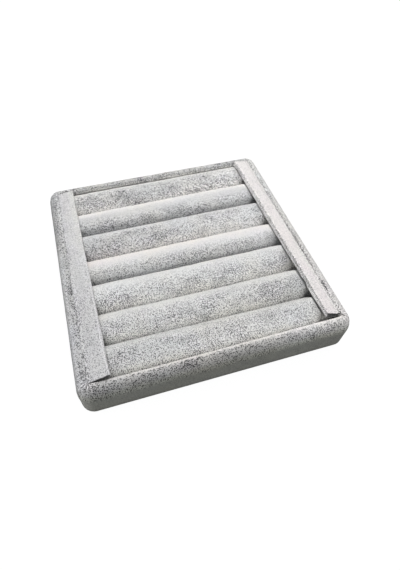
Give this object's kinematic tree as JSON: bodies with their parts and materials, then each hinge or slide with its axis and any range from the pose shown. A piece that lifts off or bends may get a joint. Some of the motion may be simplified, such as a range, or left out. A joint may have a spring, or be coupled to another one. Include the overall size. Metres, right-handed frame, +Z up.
{
  "type": "ring display stand",
  "caption": "Square cloth-covered tray with a low rounded rim, soft padded rolls side by side that grip rings in the slots between them, and hinged cloth-covered strips over the roll ends.",
  "frame": {"origin": "on the table, under the middle of the tray", "axes": "+Z up; -Y to the front, where the picture's camera stands; +X to the right, along the rolls"},
  "size_m": [0.18, 0.18, 0.0338],
  "materials": {
    "velvet": "matte",
    "felt": "matte",
    "foam": "matte",
    "fibreboard": "matte",
    "greyboard": "matte"
  },
  "bodies": {
    "tray": {"bottom_sheet": "felt", "base_board": "fibreboard", "front_rail": "fibreboard", "right_rail": "fibreboard", "back_rail": "fibreboard", "left_rail": "fibreboard", "tray_cover": "velvet", "left_strip_hinge_cloth": "velvet", "right_strip_hinge_cloth": "velvet", "roll_1_cover": "velvet", "roll_1_foam": "foam", "roll_2_cover": "velvet", "roll_2_foam": "foam", "roll_3_cover": "velvet", "roll_3_foam": "foam", "roll_4_cover": "velvet", "roll_4_foam": "foam", "roll_5_cover": "velvet", "roll_5_foam": "foam", "roll_6_cover": "velvet", "roll_6_foam": "foam", "roll_7_cover": "velvet", "roll_7_foam": "foam"},
    "left_strip": {"left_strip_cover": "velvet", "left_strip_card": "greyboard"},
    "right_strip": {"right_strip_cover": "velvet", "right_strip_card": "greyboard"}
  },
  "joints": [
    {"name": "left_strip_lift", "type": "hinge", "parent": "tray", "child": "left_strip", "pos_m": [-0.0809, 0, 0.0296], "axis": [0, -1, 0], "range_deg": [0, 105]},
    {"name": "right_strip_lift", "type": "hinge", "parent": "tray", "child": "right_strip", "pos_m": [0.0809, 0, 0.0296], "axis": [0, 1, 0], "range_deg": [0, 105]}
  ]
}
